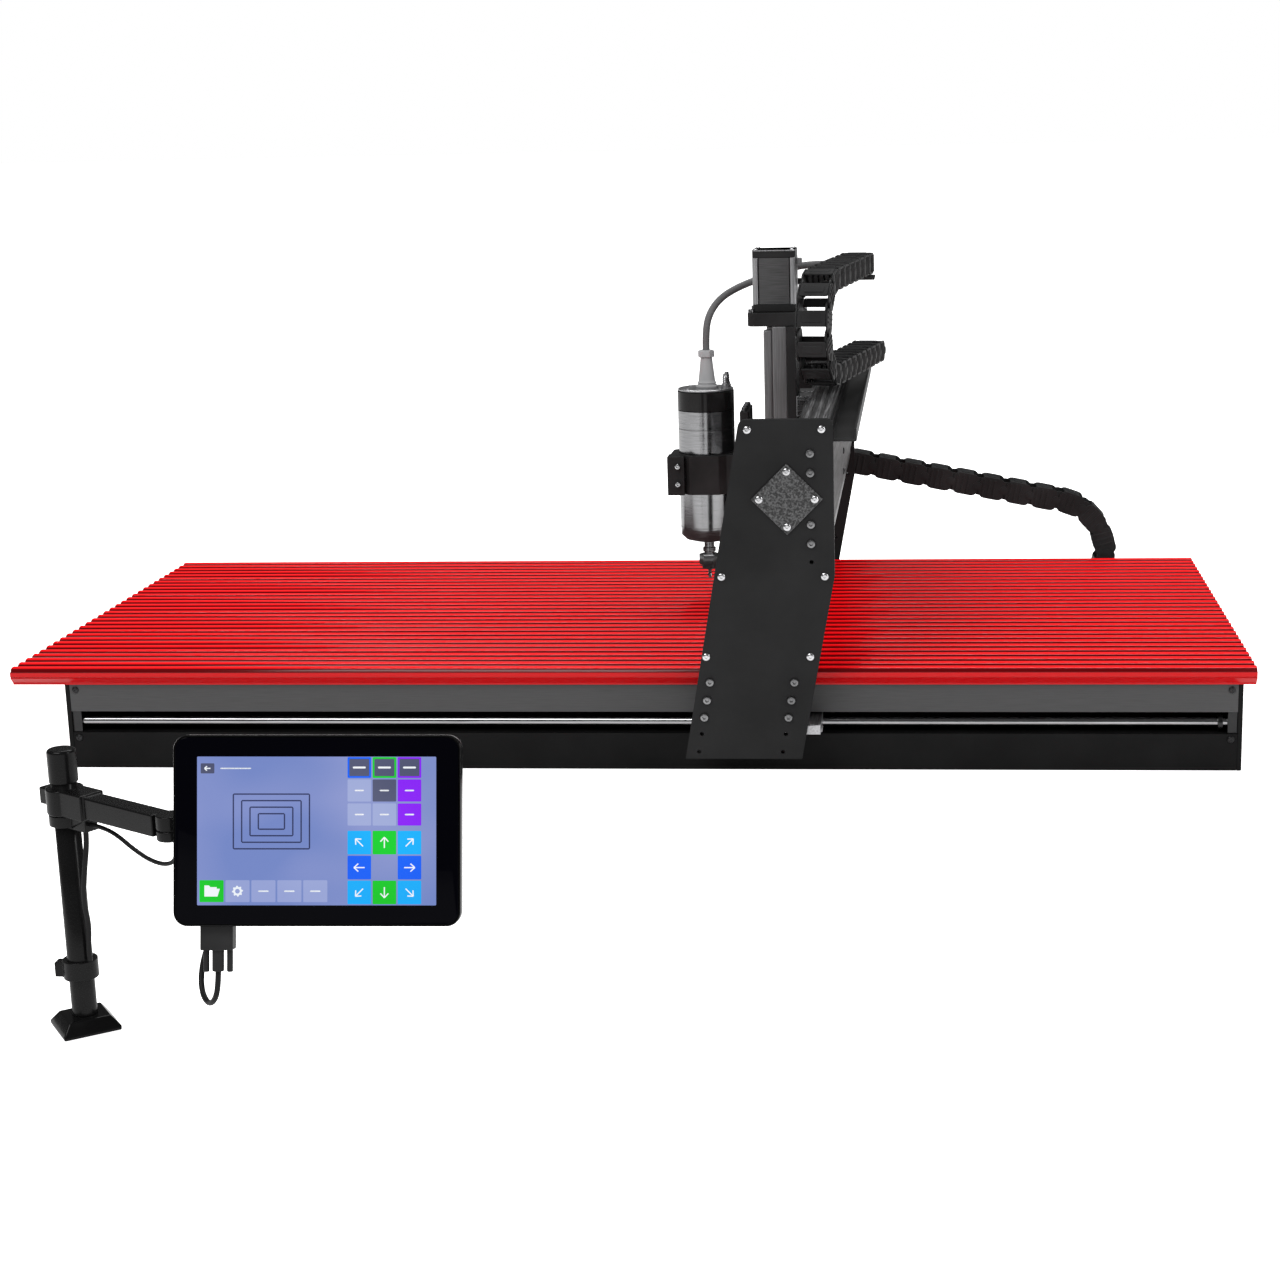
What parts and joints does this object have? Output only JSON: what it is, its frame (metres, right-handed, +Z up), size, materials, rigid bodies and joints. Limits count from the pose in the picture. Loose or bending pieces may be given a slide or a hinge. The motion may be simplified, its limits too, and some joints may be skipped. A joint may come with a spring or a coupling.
{
  "type": "cnc router",
  "caption": "Long-bed router with a ribbed bed, travelling gantry, three-axis spindle head, drag chains and a touch pendant on a jointed stand.",
  "frame": {"origin": "under the bed's centre, on the bench top that the base and the pendant stand are fixed to", "axes": "+X along the bed's length, +Y away from the pendant, +Z up"},
  "size_m": [1.594, 1.8323, 0.636],
  "materials": {
    "bed_red": "glossy red anodised aluminium",
    "frame_black": "satin black powder coat",
    "plate_black": "matte black anodised plate",
    "beam_grey": "brushed natural aluminium",
    "panel_grey": "dark grey satin sheet",
    "steel": "turned and brushed steel",
    "bright_steel": "bright ground and plated steel",
    "screw_black": "black oxide steel",
    "motor_black": "black enamel with bare end caps",
    "nut_bronze": "bronze drive nut",
    "chain_plastic": "moulded black nylon",
    "cap_black": "black anodised cap",
    "cable_grey": "grey cable sheath",
    "cable_black": "black cable sheath",
    "display_black": "gloss black moulded casing",
    "screen": "lit touch screen behind glossy glass"
  },
  "bodies": {
    "root": {"bed_planks": "bed_red", "bed_braces": "frame_black", "upper_rails": "frame_black", "lower_rails": "frame_black", "frame_screws": "screw_black", "base_sheets": "frame_black", "guide_shafts": "bright_steel", "shaft_supports": "beam_grey", "long_screw_bearings": "frame_black", "long_motor": "motor_black", "chain_tray": "frame_black", "pendant_foot": "plate_black", "pendant_pole": "plate_black", "pole_cable": "cable_black"},
    "long_screw": {"long_screw": "steel"},
    "gantry": {"side_plates": "plate_black", "dome_screws": "bright_steel", "socket_screws": "screw_black", "bearing_cover": "frame_black", "gantry_beam": "beam_grey", "rear_panel": "panel_grey", "rear_shelf": "frame_black", "cross_rails": "steel", "cross_screw_bearings": "beam_grey", "cross_motor": "motor_black", "bearing_blocks": "beam_grey", "cross_member": "frame_black", "long_nut": "nut_bronze", "long_chain": "chain_plastic"},
    "cross_screw": {"cross_screw": "steel"},
    "carriage": {"carriage_plate": "plate_black", "carriage_bearings": "beam_grey", "cross_nut": "nut_bronze", "z_column": "beam_grey", "z_motor_mount": "plate_black", "z_motor": "motor_black", "cross_chain": "chain_plastic", "chain_bracket": "plate_black"},
    "z_screw": {"z_screw": "steel"},
    "head": {"z_slide_plate": "plate_black", "z_bearings": "beam_grey", "z_nut": "nut_bronze", "spindle_clamp": "plate_black", "clamp_bolts": "screw_black", "spindle_body": "steel", "spindle_cap": "cap_black", "cap_fittings": "steel", "spindle_cable": "cable_grey"},
    "spindle": {"spindle_arbor": "steel", "collet_nut": "steel", "router_bit": "steel"},
    "pendant_collar": {"arm_collar": "plate_black"},
    "pendant_arm": {"front_arm": "plate_black", "arm_cable": "cable_black"},
    "pendant_rear_arm": {"rear_arm": "plate_black"},
    "display": {"tilt_head": "plate_black", "display_housing": "display_black", "display_glass": "screen", "display_plug": "chain_plastic", "display_cable": "cable_black"}
  },
  "joints": [
    {"name": "gantry_slide", "type": "slide", "parent": "root", "child": "gantry", "axis": [1, 0, 0], "range_m": [-0.776, 0.494]},
    {"name": "long_screw_turn", "type": "hinge", "parent": "root", "child": "long_screw", "pos_m": [0, 0, 0.061], "axis": [1, 0, 0], "continuous": true},
    {"name": "carriage_slide", "type": "slide", "parent": "gantry", "child": "carriage", "axis": [0, 1, 0], "range_m": [-0.36, 0.275]},
    {"name": "cross_screw_turn", "type": "hinge", "parent": "gantry", "child": "cross_screw", "pos_m": [0.219, 0, 0.36], "axis": [0, 1, 0], "continuous": true},
    {"name": "head_slide", "type": "slide", "parent": "carriage", "child": "head", "axis": [0, 0, 1], "range_m": [-0.03, 0.148], "deforming": ["spindle_cable"]},
    {"name": "z_screw_turn", "type": "hinge", "parent": "carriage", "child": "z_screw", "pos_m": [0.1785, 0.06, 0.4], "axis": [0, 0, 1], "continuous": true},
    {"name": "spindle_spin", "type": "hinge", "parent": "head", "child": "spindle", "pos_m": [0.077, 0.06, 0.2], "axis": [0, 0, 1], "continuous": true},
    {"name": "collar_slide", "type": "slide", "parent": "root", "child": "pendant_collar", "axis": [0, 0, 1], "range_m": [-0.08, 0.004], "deforming": ["pole_cable"]},
    {"name": "arm_swivel", "type": "hinge", "parent": "pendant_collar", "child": "pendant_arm", "pos_m": [-0.393, -1.202, 0.221], "axis": [0, 0, 1], "range_deg": [-60, 60], "deforming": ["arm_cable"]},
    {"name": "rear_arm_pan", "type": "hinge", "parent": "pendant_arm", "child": "pendant_rear_arm", "pos_m": [-0.27, -1.279, 0.219], "axis": [0, 0, 1], "range_deg": [-60, 60]},
    {"name": "display_tilt", "type": "hinge", "parent": "pendant_rear_arm", "child": "display", "pos_m": [-0.1276, -1.2903, 0.2249], "axis": [0.9966, 0.0819, 0], "range_deg": [-15, 20], "deforming": ["display_cable"]}
  ],
  "couplings": [
    {"joint": "long_screw_turn", "follows": "gantry_slide", "rad_per_m": -628.32},
    {"joint": "cross_screw_turn", "follows": "carriage_slide", "rad_per_m": -628.32},
    {"joint": "z_screw_turn", "follows": "head_slide", "rad_per_m": -628.32}
  ]
}
